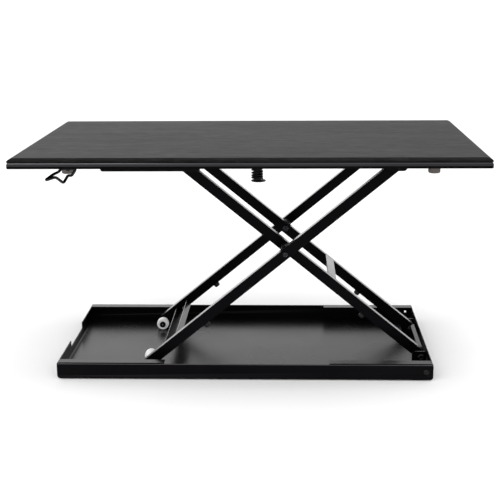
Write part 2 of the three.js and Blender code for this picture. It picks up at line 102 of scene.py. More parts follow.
CENTRE = axis_at("centre_spacer_front")
LOW_PIVOT = axis_at("base_pivot_bolt_front")
LOW_ROLLER = axis_at("lower_roller_front")
HIGH_ROLLER = axis_at("upper_roller_front")
DESK_PIVOT = axis_at("desk_pivot_bolt_front")
SPRING = Vector((middle("spring_seat").x, middle("spring_seat").y, 0))
GAS = Vector((0, middle("gas_barrel").y, middle("gas_barrel").z))
LEVER_PIVOT = Vector((middle("lever_bracket").x, -195 * MM, 388.5 * MM))
OUTER_ALONG = (DESK_PIVOT - LOW_ROLLER).normalized()
INNER_ALONG = (LOW_PIVOT - HIGH_ROLLER).normalized()
OUTER_UP = Vector((-OUTER_ALONG.z, 0, OUTER_ALONG.x))
INNER_UP = Vector((-INNER_ALONG.z, 0, INNER_ALONG.x))

# faces that the bolts pass through or sit on, in millimetres from the middle plane
INNER_NEAR, INNER_FAR = reach("inner_leg_front")
OUTER_NEAR, OUTER_FAR = reach("outer_leg_front")
ROLLER_NEAR, ROLLER_FAR = reach("lower_roller_front")
BRACKET_NEAR = reach("pivot_bracket_front")[0]
BRACKET_PLATE = 2.5
BRACKET_FAR = BRACKET_NEAR + BRACKET_PLATE
RAIL_FAR = reach("desk_rail_front")[1]
WALL_FAR = reach("base_tray")[1]


# ---------------------------------------------------------------- shader helpers
class Finish:
    """A procedural material: one principled shader whose inputs are fed by small node chains."""

    def __init__(self, name, metallic=0.0, ior_level=0.5, sheen=(1.0, 1.0, 1.0)):
        self.material = bpy.data.materials.new(name)
        self.material.use_nodes = True
        self.tree = self.material.node_tree
        self.shader = self.tree.nodes["Principled BSDF"]
        self.shader.inputs["Metallic"].default_value = metallic
        self.shader.inputs["Specular IOR Level"].default_value = ior_level
        self.shader.inputs["Specular Tint"].default_value = (*sheen, 1.0)
        self.place = self.node("ShaderNodeTexCoord").outputs["Object"]

    def feed(self, socket, value):
        """Links a socket to another one, or gives it a plain value."""
        if isinstance(value, bpy.types.NodeSocket):
            self.tree.links.new(value, socket)
        else:
            socket.default_value = value

    def node(self, kind, settings=None, **inputs):
        made = self.tree.nodes.new(kind)
        for key, value in (settings or {}).items():
            setattr(made, key, value)
        for key, value in inputs.items():
            self.feed(made.inputs[key.replace("_", " ")], value)
        return made

    def noise(self, scale, stretch=(1, 1, 1), detail=4.0, rough=0.55, distortion=0.0):
        """Noise of that many features per metre, drawn out by stretch."""
        spread = self.node("ShaderNodeMapping", Vector=self.place,
                           Scale=[scale * s for s in stretch])
        made = self.node("ShaderNodeTexNoise", Vector=spread.outputs["Vector"], Scale=1.0,
                         Detail=detail, Roughness=rough, Distortion=distortion)
        return made.outputs["Fac"]

    def ramp(self, value, low, high, start=0.0, end=1.0):
        """value, from low to high, spread from start to end."""
        made = self.node("ShaderNodeMapRange", Value=value, From_Min=low, From_Max=high,
                         To_Min=start, To_Max=end)
        return made.outputs["Result"]

    def math(self, operation, a, b):
        made = self.node("ShaderNodeMath", {"operation": operation})
        for socket, value in zip(made.inputs, (a, b)):
            self.feed(socket, value)
        return made.outputs["Value"]

    def blend(self, factor, first, second):
        """first where factor is 0, second where it is 1: colours, or sockets that carry them."""
        made = self.node("ShaderNodeMix", {"data_type": "RGBA"})
        share, one, two = made.inputs[0], made.inputs[6], made.inputs[7]
        self.feed(share, factor)
        for socket, colour in ((one, first), (two, second)):
            self.feed(socket, (*colour, 1.0) if isinstance(colour, tuple) else colour)
        return made.outputs[2]

    # the corner mask below lightens edges, for a little wear and for a painted edge highlight
    def rubbed_and_lit_edges(self):
        """1 on a corner, 0 on the flat: how far a rounded normal strays from the true one."""
        rounded = self.node("ShaderNodeBevel", {"samples": 4}, Radius=0.6 * MM)
        true = self.node("ShaderNodeNewGeometry").outputs["True Normal"]
        agree = self.node("ShaderNodeVectorMath", {"operation": "DOT_PRODUCT"})
        self.feed(agree.inputs[0], rounded.outputs["Normal"])
        self.feed(agree.inputs[1], true)
        return self.ramp(agree.outputs["Value"], 0.985, 0.80)

    def sheen_by_angle(self, low, high, start, end):
        """Specular level that goes from start, face on, to end, seen along the surface."""
        facing = self.node("ShaderNodeLayerWeight", Blend=0.5).outputs["Facing"]
        level = self.ramp(self.math("MULTIPLY", facing, facing), low, high, start, end)
        self.feed(self.shader.inputs["Specular IOR Level"], level)

    def colour(self, socket):
        self.feed(self.shader.inputs["Base Color"], socket)

    def mottle(self, clouds, dark, light, rubbed_lit_colour=None, edge_share=0.0):
        """Colour that drifts from dark to light with the clouds, and to a lighter colour on the
        corners: part wear, part painted edge highlight.
        """
        base = self.blend(self.ramp(clouds, 0.35, 0.65), dark, light)
        if rubbed_lit_colour:
            base = self.blend(self.math("MULTIPLY", self.rubbed_and_lit_edges(), edge_share), base, rubbed_lit_colour)
        self.colour(base)

    def roughness(self, pattern, start, end, low=0.3, high=0.7):
        self.feed(self.shader.inputs["Roughness"], self.ramp(pattern, low, high, start, end))

    def bump(self, height, strength, distance):
        made = self.node("ShaderNodeBump", Height=height, Strength=strength, Distance=distance)
        self.feed(self.shader.inputs["Normal"], made.outputs["Normal"])


# ---------------------------------------------------------------- finishes
VIOLET_SHEEN = (0.99, 0.95, 1.0)


def laminate(name, depth=1.0, face_on=0.09, along=0.040):
    """Black wood-grain foil: short flecks along X over broad bands, pores and a satin sheen."""

    # depth below 1 darkens every colour of the foil: the darker copies are painted shade
    def shade(*colour):
        return tuple(depth * c for c in colour)

    f = Finish(name, sheen=VIOLET_SHEEN)
    bands = f.noise(1.0, (3.2, 30, 30), detail=4.0, rough=0.55, distortion=0.5)
    streaks = f.noise(1.0, (34.0, 300, 300), detail=6.0, rough=0.68)
    flecks = f.noise(1.0, (80, 700, 700), detail=4.0, rough=0.65)
    grain = f.math("ADD", f.math("MULTIPLY", bands, 0.22), f.math("MULTIPLY", streaks, 0.78))
    pore, rubbed_lit_colour = (0.0022, 0.0019, 0.0019), (0.026, 0.024, 0.024)
    base = f.blend(f.ramp(grain, 0.38, 0.62), shade(0.0040, 0.0036, 0.0037),
                   shade(0.0150, 0.0138, 0.0140))
    pitted = f.blend(f.ramp(flecks, 0.56, 0.68), base, pore)
    flecked = f.blend(f.ramp(flecks, 0.40, 0.30), pitted, shade(0.030, 0.0275, 0.0275))
    # lighter on the corners: a little wear and a painted edge highlight
    f.colour(f.blend(f.math("MULTIPLY", f.rubbed_and_lit_edges(), 0.2), flecked, rubbed_lit_colour))
    f.sheen_by_angle(0.02, 0.6, face_on, along)
    f.roughness(grain, 0.54, 0.44, 0.35, 0.65)
    f.bump(f.math("ADD", streaks, f.math("MULTIPLY", flecks, -0.7)), 0.45, 0.00025)
    return f.material


def coated_steel(name, along=0.60, face_on=0.045):
    """Black powder coat: deep black face on, bright along the surface, with an orange-peel skin."""
    f = Finish(name, sheen=VIOLET_SHEEN)
    clouds = f.noise(6.0, detail=3.0)
    # lighter on the corners: a little chipped coat and a painted edge highlight
    f.mottle(clouds, (0.0014, 0.0012, 0.0016), (0.0025, 0.0022, 0.0028), (0.03, 0.03, 0.031), 0.5)
    f.sheen_by_angle(0.34, 0.69, face_on, along)
    f.roughness(clouds, 0.22, 0.29)
    f.bump(f.noise(700.0, detail=2.0, rough=0.5), 0.10, 0.00012)
    return f.material


def edge_band(name, ior_level):
    """Moulded black bead round the board: smoother than the foil, with one long highlight."""
    f = Finish(name, ior_level=ior_level, sheen=VIOLET_SHEEN)
    clouds = f.noise(1.0, (9.0, 60, 60), detail=3.0)
    f.mottle(clouds, (0.0030, 0.0028, 0.0036), (0.0060, 0.0056, 0.0070))
    f.roughness(clouds, 0.17, 0.22)
    f.bump(f.noise(1.0, (120, 1400, 1400), detail=2.0), 0.06, 0.0001)
    return f.material


def plated(name, tint, rough, metallic=1.0, rubbed_lit_colour=(0.5, 0.5, 0.5), ior_level=0.5):
    """Plated steel fastener: cloudy plating, brushed by turning, bright on its edges: rubbed
    plating and a painted edge highlight.
    """
    f = Finish(name, metallic=metallic, ior_level=ior_level)
    clouds = f.noise(160.0, detail=4.0)
    f.mottle(clouds, tuple(0.72 * c for c in tint), tint, rubbed_lit_colour, 0.45)
    f.roughness(clouds, rough * 0.8, rough * 1.25)
    f.bump(f.noise(1.0, (500, 2400, 500), detail=2.0), 0.08, 0.00008)
    return f.material


def nylon():
    """White moulded nylon with a little grey dust on it."""
    f = Finish("white_nylon", ior_level=0.4)
    clouds = f.noise(90.0, detail=4.0)
    dust = f.noise(420.0, detail=5.0, rough=0.7)
    base = f.blend(f.ramp(clouds, 0.35, 0.65), (0.82, 0.82, 0.81), (0.90, 0.90, 0.89))
    f.colour(f.blend(f.ramp(dust, 0.58, 0.82, 0.0, 0.25), base, (0.45, 0.45, 0.45)))
    f.roughness(clouds, 0.36, 0.52)
    f.bump(dust, 0.08, 0.0001)
    f.shader.inputs["Subsurface Weight"].default_value = 0.08
    f.shader.inputs["Subsurface Radius"].default_value = (0.002, 0.0018, 0.0016)
    return f.material


def rubber(name, dark, light, rough=0.75):
    """Moulded rubber: matt, finely mottled, with a chalky bloom on its corners."""
    f = Finish(name, ior_level=0.3)
    clouds = f.noise(130.0, detail=5.0)
    f.mottle(clouds, dark, light, tuple(1.35 * c for c in light), 0.3)
    f.roughness(clouds, rough - 0.1, rough + 0.1)
    f.bump(f.noise(1500.0, detail=2.0), 0.25, 0.00012)
    return f.material


def plastic():
    """Black moulded plastic with a spark-eroded grain."""
    f = Finish("black_plastic_grain", ior_level=0.25)
    clouds = f.noise(70.0, detail=3.0)
    f.mottle(clouds, (0.004, 0.004, 0.0045), (0.0075, 0.0075, 0.008), (0.03, 0.03, 0.03), 0.4)
    f.roughness(clouds, 0.38, 0.52)
    f.bump(f.noise(1900.0, detail=1.0), 0.30, 0.0001)
    return f.material


def studio_paint():
    """The floor: matt, nearly white, without a sheen."""
    f = Finish("studio_floor_paint", ior_level=0.0)
    f.colour(f.blend(f.ramp(f.noise(3.0), 0.3, 0.7), (0.855, 0.855, 0.855), (0.865, 0.865, 0.865)))
    f.shader.inputs["Roughness"].default_value = 1.0
    return f.material


LAMINATE = laminate("black_laminate_grain")
# painted shade: darker copies of the foil, one for the waterfall fall and one for the groove and
# the underside of the rim
LAMINATE_FALL_SHADE = laminate("black_laminate_fall_painted_shade", 0.6, 0.055, 0.030)
LAMINATE_PAINTED_SHADE = laminate("black_laminate_painted_shade", 0.25, 0.015, 0.010)
STEEL = coated_steel("black_powder_coat")
LEG_STEEL = coated_steel("black_powder_coat_leg", 0.60, 0.028)
DULL_STEEL = coated_steel("black_powder_coat_dull", 0.14)
BENT_STEEL = coated_steel("black_powder_coat_bend", 0.9, 0.75)
EDGE_BAND = edge_band("black_edge_band", 0.32)
EDGE_GLOSS = edge_band("black_edge_band_crown", 0.38)
# its light edge colour paints the thin ring highlight round the bolt heads, along with rubbed
# plating
BLACK_ZINC = plated("black_zinc_plate", (0.018, 0.018, 0.020), 0.26, 0.85, (0.34, 0.34, 0.35))
SPRING_BLACK = plated("oiled_spring_wire", (0.012, 0.012, 0.0125), 0.34, 0.8, (0.05, 0.05, 0.05))
AXLE_BLACK = plated("black_axle", (0.003, 0.003, 0.0034), 0.40, 0.2, (0.03, 0.03, 0.03), 0.12)
LEVER_ZINC = plated("lever_black_chrome", (0.024, 0.024, 0.025), 0.14, 0.9, (0.08, 0.08, 0.08))
ZINC = plated("bright_zinc_plate", (0.62, 0.63, 0.65), 0.28)
DULL_ZINC = plated("dull_zinc_plate", (0.10, 0.10, 0.105), 0.34, 0.9, (0.5, 0.5, 0.5))
CHROME = plated("polished_rod", (0.70, 0.71, 0.73), 0.10)
NYLON = nylon()
GREY_RUBBER = rubber("grey_rubber", (0.105, 0.092, 0.088), (0.150, 0.134, 0.126))
BLACK_RUBBER = rubber("black_rubber", (0.004, 0.004, 0.004), (0.009, 0.009, 0.009), 0.62)
PLASTIC = plastic()


# ---------------------------------------------------------------- mesh helpers
def sharp_edges(bm):
    limit = math.radians(SHARP)
    return [e for e in bm.edges if e.is_manifold and e.calc_face_angle(0.0) > limit]


def add_piece(node, bm, *materials, sharp=SHARP):
    """Turns a bmesh into the piece that stands for a CAD node, on that node's body."""
    bmesh.ops.recalc_face_normals(bm, faces=bm.faces)
    limit = math.radians(sharp)
    for face in bm.faces:
        face.smooth = True
    for edge in bm.edges:
        edge.smooth = edge.calc_face_angle(0.0) < limit
    name = f"{node}_piece"
    mesh = bpy.data.meshes.new(name)
    bm.to_mesh(mesh)
    bm.free()
    for material in materials:
        mesh.materials.append(material)
    piece = bpy.data.objects.new(name, mesh)
    bpy.context.scene.collection.objects.link(piece)
    shading = piece.modifiers.new("flat_faces_stay_flat", "WEIGHTED_NORMAL")
    shading.keep_sharp = True
    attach(piece, BODY_OF[node])
    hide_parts(node)
    return piece


def arc_round(before, corner, after, radius, share, steps):
    """Points of a short curve in place of a corner; it takes at most share of either side."""
    back, ahead = before - corner, after - corner
    trim = min(radius, back.length * share, ahead.length * share)
    enter = corner + back.normalized() * trim
    leave = corner + ahead.normalized() * trim
    return [enter * (1 - t) ** 2 + corner * 2 * t * (1 - t) + leave * t ** 2
            for t in (i / steps for i in range(steps + 1))]


def soften(profile, radius=0.5, steps=3):
    """Rounds the corners of a profile, given in millimetres."""
    out = [profile[0]]
    for before, corner, after in zip(profile, profile[1:], profile[2:]):
        ends = (Vector(point[:2]) for point in (before, corner, after))
        for point in arc_round(*ends, radius, 0.45, steps):
            out.append((point.x, point.y, *corner[2:]))
    out.append(profile[-1])
    return out


def rounded_path(points, radius, steps):
    """A path of straight runs with its corners bent round, in metres."""
    corners = [Vector(p) for p in points]
    out = [corners[0]]
    for before, corner, after in zip(corners, corners[1:], corners[2:]):
        out += arc_round(before, corner, after, radius, 0.48, steps)
    out.append(corners[-1])
    return out


def hexagon(angle):
    """How far a hexagon's edge is from its middle, for a distance across flats of 2."""
    turn = (angle + math.pi / 6) % (math.pi / 3) - math.pi / 6
    return 1 / math.cos(turn)


def lathe(bm, profile, at, axis, segments=48, material=0):
    """Turns a profile of (radius, distance) in millimetres about an axis through at.

    A third value, "hex", gives that ring six flats."""
    axis = axis.normalized()
    side = axis.cross(X if abs(axis.x) < 0.9 else Y).normalized()
    up = axis.cross(side)
    rings = []
    for point in profile:
        radius, along = point[0] * MM, point[1] * MM
        hub = at + axis * along
        if radius < 1e-7:
            rings.append([bm.verts.new(hub)])
            continue
        ring = []
        for i in range(segments):
            a = 2 * math.pi * i / segments
            r = radius * (hexagon(a) if "hex" in point[2:] else 1)
            ring.append(bm.verts.new(hub + side * (r * math.cos(a)) + up * (r * math.sin(a))))
        rings.append(ring)
    pairs = list(zip(rings, rings[1:]))
    if len(rings[0]) > 1 and len(rings[-1]) > 1:
        pairs.append((rings[-1], rings[0]))
    for one, two in pairs:
        for i in range(segments):
            j = (i + 1) % segments
            corners = [one[i % len(one)], one[j % len(one)], two[j % len(two)], two[i % len(two)]]
            unique = list(dict.fromkeys(corners))
            if len(unique) > 2:
                bm.faces.new(unique).material_index = material


def turned(node, profile, at, axis, material, soft=0.5, segments=48):
    """A piece that is one lathed profile with its corners softened."""
    bm = bmesh.new()
    lathe(bm, soften(profile, soft), at, axis, segments)
    add_piece(node, bm, material)


def tube(path, radius, sides):
    """A round bar along a path, with softened ends."""
    tip, tip_radius = radius * 0.35, radius * 0.72
    directions = []
    for i in range(len(path)):
        before, after = path[max(0, i - 1)], path[min(len(path) - 1, i + 1)]
        directions.append((after - before).normalized())
    side = directions[0].orthogonal().normalized()
    stations = []
    for at, direction in zip(path, directions):
        side = (side - direction * side.dot(direction)).normalized()
        stations.append((at, side, direction.cross(side), radius))
    first, last = stations[0], stations[-1]
    stations[0] = (first[0] + directions[0] * tip, *first[1:])
    stations[-1] = (last[0] - directions[-1] * tip, *last[1:])
    stations.insert(0, (*first[:3], tip_radius))
    stations.append((*last[:3], tip_radius))
    bm = bmesh.new()
    rings = []
    for centre, u, v, r in stations:
        angles = (2 * math.pi * k / sides for k in range(sides))
        rings.append([bm.verts.new(centre + u * (r * math.cos(a)) + v * (r * math.sin(a)))
                      for a in angles])
    for one, two in zip(rings, rings[1:]):
        for i in range(sides):
            j = (i + 1) % sides
            bm.faces.new((one[i], one[j], two[j], two[i]))
    bm.faces.new(rings[0])
    bm.faces.new(rings[-1])
    return bm


def block(bm, x0, x1, y0, y1, z0, z1):
    made = bmesh.ops.create_cube(bm, size=1.0)["verts"]
    bmesh.ops.scale(bm, verts=made, vec=(x1 - x0, y1 - y0, z1 - z0))
    bmesh.ops.translate(bm, verts=made, vec=((x0 + x1) / 2, (y0 + y1) / 2, (z0 + z1) / 2))


def bevel(bm, edges, width, segments=2, material=-1):
    if edges:
        bmesh.ops.bevel(bm, geom=edges, offset=width * MM, offset_type="OFFSET", segments=segments,
                        profile=0.5, affect="EDGES", clamp_overlap=True, material=material)


def cad_mesh(node):
    """A node's own mesh, welded and with its flat faces made whole again."""
    bm = bmesh.new()
    bm.from_mesh(frame["nodes"][node].data)
    bmesh.ops.remove_doubles(bm, verts=bm.verts, dist=2e-6)
    bmesh.ops.dissolve_limit(bm, angle_limit=math.radians(0.6), verts=bm.verts, edges=bm.edges,
                             use_dissolve_boundaries=False)
    bmesh.ops.recalc_face_normals(bm, faces=bm.faces)
    return bm


def refined(node, material, edge, segments=2):
    """A node's own shape with every hard edge broken, as sheet metal and mouldings have."""
    bm = cad_mesh(node)
    bevel(bm, sharp_edges(bm), edge, segments)
    add_piece(node, bm, material)


# ---------------------------------------------------------------- board
def rounded_loop(half_x, half_y, corner, steps=6):
    """A rectangle about the origin with round corners, as (x, y) points."""
    out = []
    for k, (sx, sy) in enumerate(((1, 1), (-1, 1), (-1, -1), (1, -1))):
        for i in range(steps + 1):
            a = (k + i / steps) * math.pi / 2
            out.append((sx * (half_x - corner) + corner * math.cos(a),
                        sy * (half_y - corner) + corner * math.sin(a)))
    return out


def waterfall(top, inward=8.0, drop=6.3, crease=0.62, steps=12):
    """The last part of a quarter turn, which meets the top in a crease: (inset, height) points."""
    start = crease * math.pi / 2
    turns = (start + (math.pi / 2 - start) * i / steps for i in range(steps + 1))
    return [(inward * (1 - math.sin(turn)) / (1 - math.sin(start)),
             top - drop * (math.cos(start) - math.cos(turn)) / math.cos(start)) for turn in turns]


def board():
    """The desktop: a waterfall edge all round, a groove under it, a round bead and a deeper rim."""
    materials = (LAMINATE, EDGE_BAND, LAMINATE_FALL_SHADE, LAMINATE_PAINTED_SHADE, EDGE_GLOSS)
    corner, corner_loss, corner_least = 2.0, 0.2, 0.15
    low, high = box("desktop_board")
    width, depth, top = (high.x - low.x) / MM, (high.y - low.y) / MM, (high.z - low.z) / MM
    # from the top down: the finish of each stretch, and its points of (inset, height); the darker
    # laminate copies on the fall, in the groove and under the rim are painted shade
    stretches = (
        (LAMINATE_FALL_SHADE, waterfall(top)),
        (LAMINATE_PAINTED_SHADE, [(0.1, 11.4), (0.6, 11.1), (1.4, 11.0), (1.5, 10.5), (1.45, 10.1)]),
        (EDGE_BAND, [(1.4, 10.0), (1.25, 9.9)]),
        (EDGE_GLOSS, [(1.12, 9.65), (0.80, 9.05), (0.47, 8.40), (0.2, 7.7)]),
        (EDGE_BAND, [(0.05, 7.0), (0.0, 6.2), (0.0, 4.4)]),
        (LAMINATE_PAINTED_SHADE, [(0.0, 3.2), (0.1, 1.8), (0.4, 0.7), (1.1, 0.1), (2.4, 0.0), (14.4, 0.0),
                        (15.0, 0.5), (15.0, 1.9), (15.6, 2.2)]),
    )
    bm = bmesh.new()
    loops, slots = [], []
    for finish, points in stretches:
        for inset, z in points:
            radius = max(corner - inset * corner_loss, corner_least)
            loop = rounded_loop(width / 2 - inset, depth / 2 - inset, radius)
            loops.append([bm.verts.new((x * MM, y * MM, low.z + z * MM)) for x, y in loop])
            slots.append(materials.index(finish))
    for one, two, slot in zip(loops, loops[1:], slots[1:]):
        for i in range(len(one)):
            j = (i + 1) % len(one)
            bm.faces.new((one[i], one[j], two[j], two[i])).material_index = slot
    bm.faces.new(loops[0])
    bm.faces.new(loops[-1])
    add_piece("desktop_board", bm, *materials, sharp=18)


# ---------------------------------------------------------------- tray and what is fixed to it
def tray():
    """The pan: folded sheet with a fillet inside its walls and a rolled outer edge on top."""
    close, sheet, lip_rise, lip_set_back = 0.05 * MM, 1.5, 1.2, 3.2
    fillet, roll, broken = 2.2, 1.1, 0.3
    materials = (STEEL, BENT_STEEL, DULL_STEEL)
    bm = cad_mesh("base_tray")
    low, high = box("base_tray")
    floor, wall = low.z + sheet * MM, high.y - sheet * MM
    brim, step = high.z - lip_rise * MM, high.y - lip_set_back * MM

    def on(edge, *places):
        """Whether both ends of an edge are at one of these (height, distance from y = 0)."""
        return all(any(abs(v.co.z - z) < close and abs(abs(v.co.y) - y) < close for z, y in places)
                   for v in edge.verts)

    edges = sharp_edges(bm)
    inner = [e for e in edges if on(e, (floor, wall))]
    rolled = [e for e in edges if on(e, (brim, high.y))]
    crisp = [e for e in edges if on(e, (brim, step), (high.z, step))]
    rest = [e for e in edges if e not in inner and e not in rolled and e not in crisp]
    bevel(bm, inner, fillet, 4)
    bevel(bm, [e for e in rolled if e.is_valid], roll, 4, materials.index(BENT_STEEL))
    bevel(bm, [e for e in rest if e.is_valid], broken)
    for face in bm.faces:
        if abs(face.normal.x) > 0.9:
            face.material_index = materials.index(DULL_STEEL)
    add_piece("base_tray", bm, *materials)


def tray_foot(node):
    tall = height(node)
    turned(node, [
        (0, 0.5), (4.4, 0.5), (5.0, 0.0), (8.0, 0.0), (9.0, 0.6), (9.0, tall), (0, tall),
    ], foot_point(node), Z, BLACK_RUBBER, 0.25)


def from_face(face, *outline):
    """Moves points of (radius, distance out of a face) to a face that far along the axis."""
    return [(point[0], face + point[1], *point[2:]) for point in outline]


def collar(radius, near, far):
    """A thicker stretch of a bolt's shank."""
    return [(SHANK, near), (radius, near), (radius, far), (SHANK, far)]


def tip_and_nut(face):
    """A bolt's threaded tip and its hex nut, against a face that looks inward."""
    return from_face(
        face, (0, -4.2), (2.6, -4.2), (3.4, -3.4), (3.4, -3.0), (5.2, -3.0, "hex"),
        (6.05, -2.3, "hex"), (6.05, 0, "hex"), (SHANK, 0))


def base_pivot_bolt(name, side):
    """Hex nut on the inside, a collar between leg and bracket, a socket head outside."""
    profile = tip_and_nut(INNER_NEAR - GAP)
    profile += collar(6.5, INNER_FAR + GAP, BRACKET_NEAR - GAP)
    profile += from_face(
        BRACKET_FAR + GAP, (SHANK, 0), (6.5, 0), (6.5, 2.7), (5.2, 4.0), (3.0, 4.3),
        (2.5, 4.3, "hex"), (2.5, 2.3, "hex"), (0, 2.3))
    turned(f"base_pivot_bolt_{name}", profile, LOW_PIVOT, Y * side, BLACK_ZINC, 0.3)


def bracket_rivet():
    at = middle("bracket_rivet_front")
    turned("bracket_rivet_front", from_face(
        WALL_FAR + GAP, (0, -7.2), (4.8, -7.2), (4.8, -4.6), (3.0, -4.6), (3.0, 0), (5.0, 0),
        (4.7, 0.7), (3.6, 1.45), (1.7, 1.85), (1.1, 1.5), (0, 1.4)
    ), Vector((at.x, 0, at.z)), -Y, SPRING_BLACK, 0.3)


# ---------------------------------------------------------------- legs
def leg(node, axes):
    """Rectangular tube: its long corners are drawn round, its bores and ends stay crisp."""
    close, bore_clear, corner = 0.02 * MM, 6 * MM, 1.2
    bm = cad_mesh(node)
    low, high = box(node)

    def on_face(vert):
        flat = min(abs(vert.co.y - low.y), abs(vert.co.y - high.y)) < close
        return flat and all(
            Vector((vert.co.x - a.x, 0, vert.co.z - a.z)).length > bore_clear for a in axes)

    outline = [e for e in sharp_edges(bm) if all(on_face(v) for v in e.verts)]
    bevel(bm, outline, corner, 3)
    add_piece(node, bm, LEG_STEEL)


def leg_pad(node, up):
    half, radius = 3.85, 6
    turned(node, [
        (0, half), (radius, half), (radius, -0.6), (5.4, -1.1), (5.7, -1.6), (5.4, -3.0),
        (4.4, -half), (0, -half),
    ], middle(node), up, BLACK_RUBBER, 0.5, 40)


def centre_bolt(name, side):
    """Socket screw head outside, hex nut inside."""
    profile = tip_and_nut(INNER_NEAR - GAP)
    profile += from_face(
        OUTER_FAR + GAP, (SHANK, 0), (5.1, 0), (5.1, 2.2), (4.3, 3.4), (3.2, 3.5),
        (2.7, 3.2, "hex"), (2.7, 1.4, "hex"), (0, 1.1))
    turned(f"centre_bolt_{name}", profile, CENTRE, Y * side, BLACK_ZINC, 0.35)


def centre_spacer(name, side):
    """A sleeve between the legs, with a thicker band at each end."""
    near, far = INNER_FAR + GAP, OUTER_NEAR - GAP
    end = ((BORE, 0), (7.4, 0), (8.0, 0.8), (8.0, 8.2), (7.5, 9.2))
    profile = [(radius, near + along) for radius, along in end]
    profile += [(radius, far - along) for radius, along in reversed(end)]
    turned(f"centre_spacer_{name}", profile, CENTRE, Y * side, PLASTIC, 0.3)


def lower_axle(name, side):
    """Shoulder bolt, whose riveted tip shows as a bright dot in the roller's dark hub."""
    hub = ROLLER_NEAR - GAP
    profile = from_face(
        hub, (0, -3.3), (2.7, -3.3), (3.3, -4.2), (4.4, -4.2), (6, -3.0), (6, 0), (SHANK, 0))
    profile += collar(6.5, ROLLER_FAR + GAP, OUTER_NEAR - GAP)
    profile += from_face(
        OUTER_FAR + GAP, (SHANK, 0), (7, 0), (7, 2.4), (5.6, 3.7), (3.6, 3.7), (3.2, 3.3, "hex"),
        (3.2, 1.8, "hex"), (0, 1.6))
    dot = from_face(hub, (0, -3.9), (0.5, -3.85), (0.8, -3.6), (0.9, -2.9), (0, -2.9))
    bm = bmesh.new()
    lathe(bm, soften(profile, 0.3), LOW_ROLLER, Y * side)
    lathe(bm, dot, LOW_ROLLER, Y * side, 32, 1)
    add_piece(f"lower_axle_{name}", bm, AXLE_BLACK, ZINC)


def upper_axle(name, side):
    """Shoulder bolt, screwed into the end of the bar between the inner legs."""
    tip = reach("upper_axle_front")[0]
    profile = [(0, tip), (SHANK, tip)] + collar(6.5, INNER_FAR + GAP, ROLLER_NEAR - GAP)
    profile += from_face(
        ROLLER_FAR + GAP, (SHANK, 0), (6, 0), (6, 2.7), (4.8, 3.7), (3.0, 3.7), (2.6, 3.4, "hex"),
        (2.6, 1.9, "hex"), (0, 1.7))
    turned(f"upper_axle_{name}", profile, HIGH_ROLLER, Y * side, BLACK_ZINC, 0.3)


def roller(node, side, at):
    """Nylon wheel with a grooved inner face and a hub that tapers outward."""
    profile = from_face(
        ROLLER_NEAR, (4.35, 0), (5.9, 0), (6.2, 0.6), (6.8, 0.6), (7.1, 0), (10.6, 0), (11.9, 1.4),
        (12, 9), (11.2, 13), (10.3, 15.8), (8.2, 19.4), (6.6, 21.9), (5.0, 22.0), (4.35, 21.8))
    turned(node, profile, at, Y * side, NYLON, 0.6, 72)


def desk_pivot_bolt(name, side):
    """Pivot between an outer leg and the rail's flange, with its head outside the flange."""
    tip, flange = reach("desk_pivot_bolt_front")[0], 1.8
    profile = [(0, tip), (SHANK, tip)] + collar(6.5, OUTER_FAR + GAP, RAIL_FAR - flange)
    profile += from_face(
        RAIL_FAR + GAP, (SHANK, 0), (6.5, 0), (6.5, 2.3), (5.2, 3.5), (3.4, 3.5), (3.0, 3.2, "hex"),
        (3.0, 1.5, "hex"), (0, 1.3))
    turned(f"desk_pivot_bolt_{name}", profile, DESK_PIVOT, Y * side, BLACK_ZINC, 0.3)


def channel_screw(node):
    """Screw through the channel's web, nut below; heights are from the legs' centre line."""
    down_the_legs = 278 * MM
    turned(node, [
        (0, -12.2), (2.2, -12.2), (3.0, -11.6), (4.33, -11.6, "hex"), (4.33, -8.3, "hex"),
        (2.5, -8.3), (2.5, -5.7), (4.6, -5.7), (4.6, -4.3), (3.6, -3.2), (2.1, -2.85),
        (1.7, -3.0, "hex"), (1.7, -4.2, "hex"), (0, -4.3),
    ], CENTRE - OUTER_ALONG * down_the_legs + Y * middle(node).y, OUTER_UP, DULL_ZINC, 0.25)


def cross_bar(node, at, bore_end):
    """Round bar between two legs, drilled at both ends for the bolts."""
    chamfer = 0.8
    radius, end = height(node) / 2, box(node)[1].y / MM
    half = [(0, bore_end), (BORE, bore_end), (BORE, end), (radius - chamfer, end),
            (radius, end - chamfer)]
    profile = [(r, -along) for r, along in half] + list(reversed(half))
    turned(node, profile, at, Y, STEEL, 0.3)


# ---------------------------------------------------------------- under the board
def rail_screw(node):
    tall = height(node)
    turned(node, [
        (0, 1.4), (1.5, 1.4, "hex"), (1.5, 0.1, "hex"), (2.1, 0), (3.4, 0), (4.5, 1.0), (4.5, 2.4),
        (2.0, 2.4), (2.0, tall - 1.5), (0, tall),
    ], foot_point(node), Z, BLACK_ZINC, 0.25)


def bumper(node):
    """Tapered rubber stop with a dished foot."""
    low, high = box(node)
    tall, radius = height(node), (high.x - low.x) / 2 / MM
    turned(node, [
        (0, 0.9), (2.6, 0.9), (3.2, 0.1), (radius - 2.6, 0.0), (radius - 0.8, 0.8),
        (radius - 0.3, 2.4), (radius - 0.1, tall - 6.0), (radius, tall - 4.6), (radius, tall),
        (0, tall),
    ], foot_point(node), Z, GREY_RUBBER, 0.9, 56)


